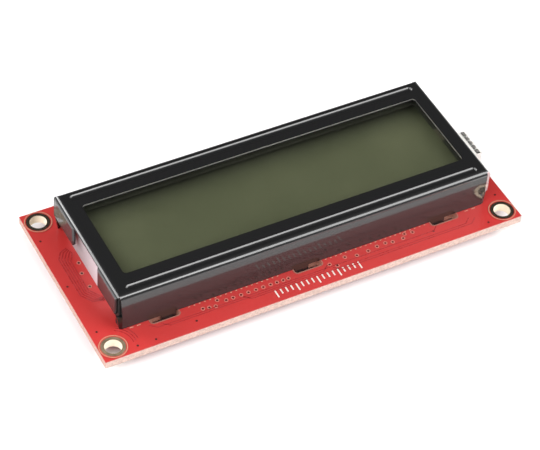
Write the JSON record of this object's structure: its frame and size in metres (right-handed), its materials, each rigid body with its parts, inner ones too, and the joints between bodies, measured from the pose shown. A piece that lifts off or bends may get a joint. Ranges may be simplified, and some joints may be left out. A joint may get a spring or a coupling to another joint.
{
  "type": "character lcd module",
  "caption": "Character display module: olive liquid crystal window in a folded black steel bezel, clamped on a red printed board with corner mounting holes and a small edge connector.",
  "frame": {"origin": "centre of the four corner mounting holes, on the back face of the board", "axes": "+X along the long side, +Y across the board towards the row of header pads, +Z out of the screen"},
  "size_m": [0.08, 0.036, 0.0113],
  "materials": {
    "black_paint": "gloss",
    "polarizer_film": "gloss",
    "display_glass": "gloss",
    "seal_epoxy": "matte",
    "plug_resin": "satin",
    "liquid_crystal": "clear",
    "reflective_film": "satin",
    "silicone_rubber": "matte",
    "white_film": "matte",
    "clear_acrylic": "clear",
    "white_plastic": "satin",
    "white_laminate": "satin",
    "led_resin": "satin",
    "tinned_metal": "satin",
    "red_laminate": "satin",
    "tinned_copper": "satin",
    "natural_nylon": "satin",
    "black_resin": "matte",
    "tan_ceramic": "matte",
    "black_glaze": "gloss"
  },
  "bodies": {
    "root": {"bezel": "black_paint", "front_polarizer": "polarizer_film", "front_glass": "display_glass", "cell_seal": "seal_epoxy", "fill_port_plug": "plug_resin", "liquid_crystal": "liquid_crystal", "rear_glass": "display_glass", "rear_polarizer": "reflective_film", "elastomer_front": "silicone_rubber", "elastomer_rear": "silicone_rubber", "diffuser_sheet": "white_film", "light_guide": "clear_acrylic", "reflector_sheet": "white_film", "backlight_housing": "white_plastic", "led_strip": "white_laminate", "backlight_leds": "led_resin", "backlight_pins": "tinned_metal", "circuit_board": "red_laminate", "mounting_rings": "tinned_copper", "slot_rims": "tinned_copper", "header_pads": "tinned_copper", "pin_pads": "tinned_copper", "connector_housing": "natural_nylon", "connector_contacts": "tinned_metal", "connector_anchors": "tinned_metal", "driver_glob_tops": "black_resin", "microcontroller_body": "black_resin", "microcontroller_leads": "tinned_metal", "resonator_body": "tan_ceramic", "regulator_body": "black_resin", "transistor_bodies": "black_resin", "package_leads": "tinned_metal", "chip_resistors": "black_glaze", "chip_capacitors": "tan_ceramic", "chip_terminals": "tinned_metal", "solder_joints": "tinned_metal"}
  },
  "joints": []
}
